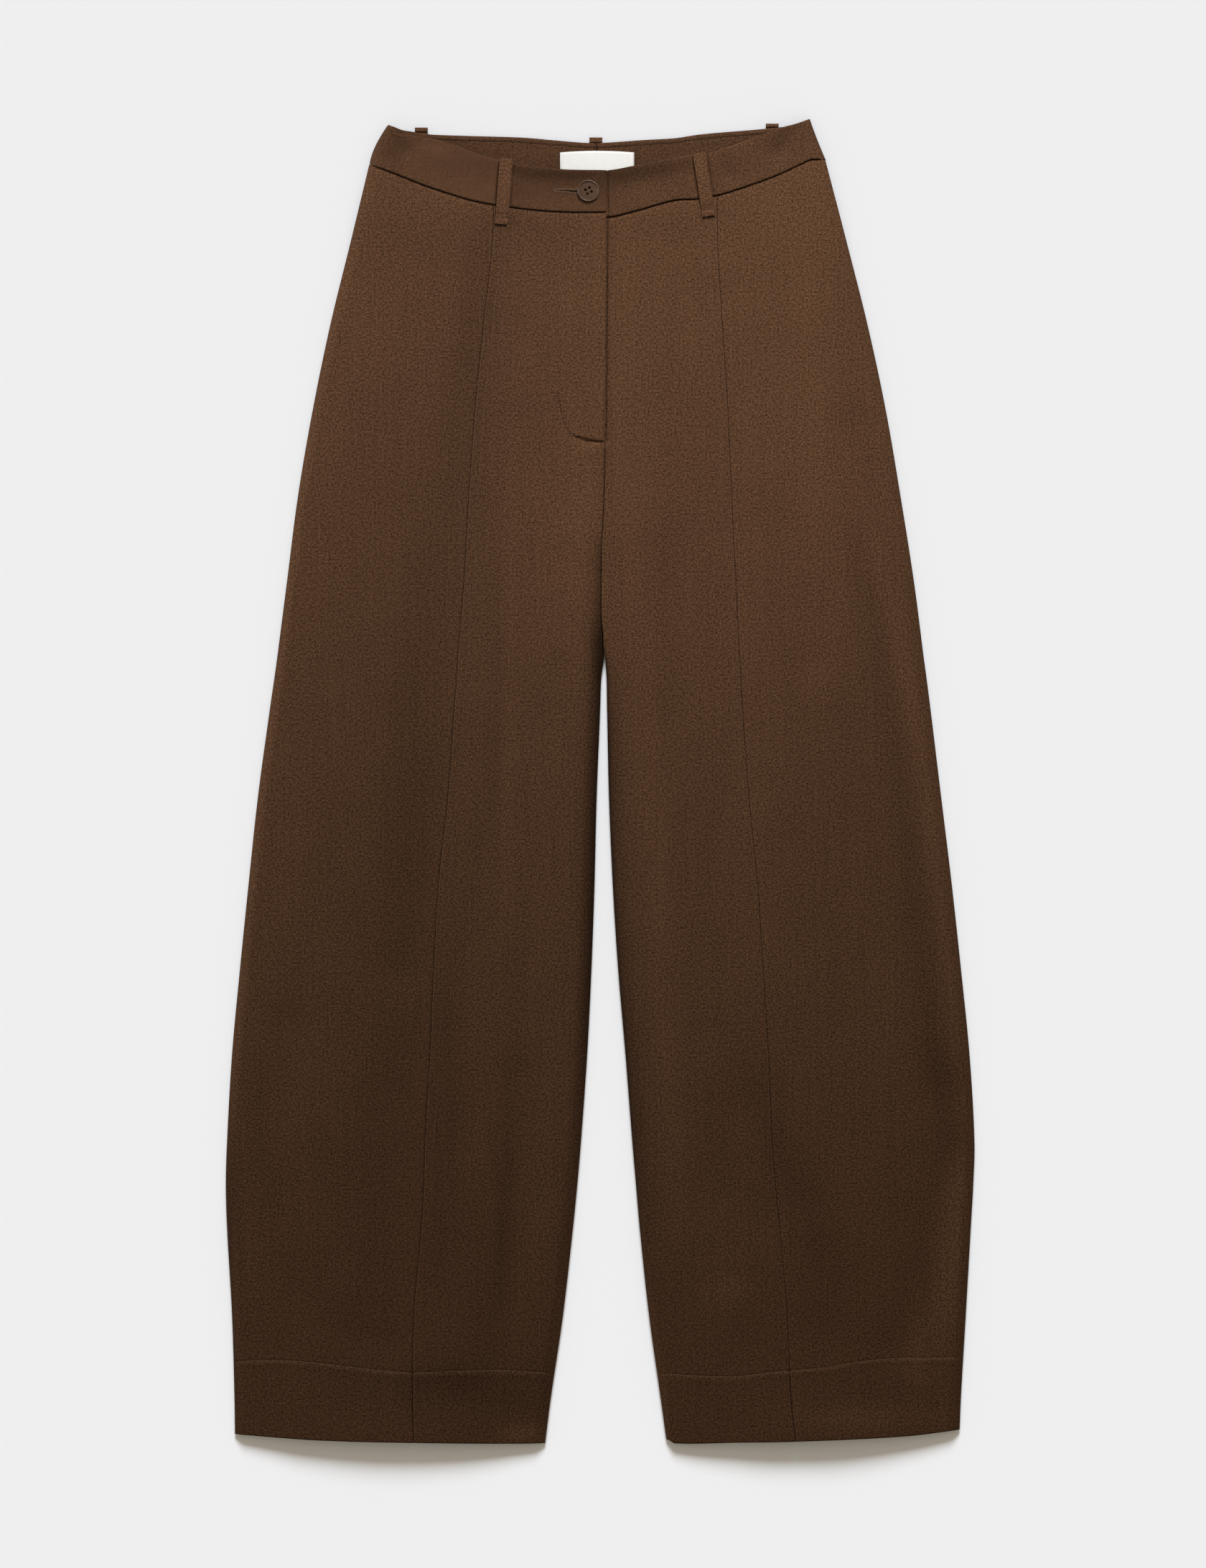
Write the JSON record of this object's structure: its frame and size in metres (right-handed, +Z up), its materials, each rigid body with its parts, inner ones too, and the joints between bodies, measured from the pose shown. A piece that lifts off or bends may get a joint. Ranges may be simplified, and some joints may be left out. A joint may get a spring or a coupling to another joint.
{
  "type": "barrel leg trousers",
  "caption": "Barrel leg trousers in brown twill, laid flat with the front up: contoured waistband with belt loops and a button fastening, front leg seams, wide curved legs.",
  "frame": {"origin": "centre of the trousers' outline, on the surface that they lie on", "axes": "+Y runs up the length toward the waist, +X runs across toward the wearer's left, +Z points up out of the front of the garment"},
  "size_m": [0.6071, 1.0736, 0.0191],
  "materials": {
    "cloth": "matte dark brown melange twill",
    "label": "smooth off-white woven tape, blank",
    "button": "satin dark brown plastic"
  },
  "bodies": {
    "root": {"front_right_centre": "cloth", "front_right_side": "cloth", "back_right": "cloth", "waistband_front_right": "cloth", "waistband_back_right": "cloth", "waistband_facing_right": "cloth", "front_left_centre": "cloth", "front_left_side": "cloth", "back_left": "cloth", "waistband_front_left": "cloth", "waistband_back_left": "cloth", "waistband_facing_left": "cloth", "belt_loop_front_right": "cloth", "belt_loop_front_left": "cloth", "belt_loop_back_right": "cloth", "belt_loop_back_centre": "cloth", "belt_loop_back_left": "cloth", "label": "label", "button": "button"}
  },
  "joints": []
}
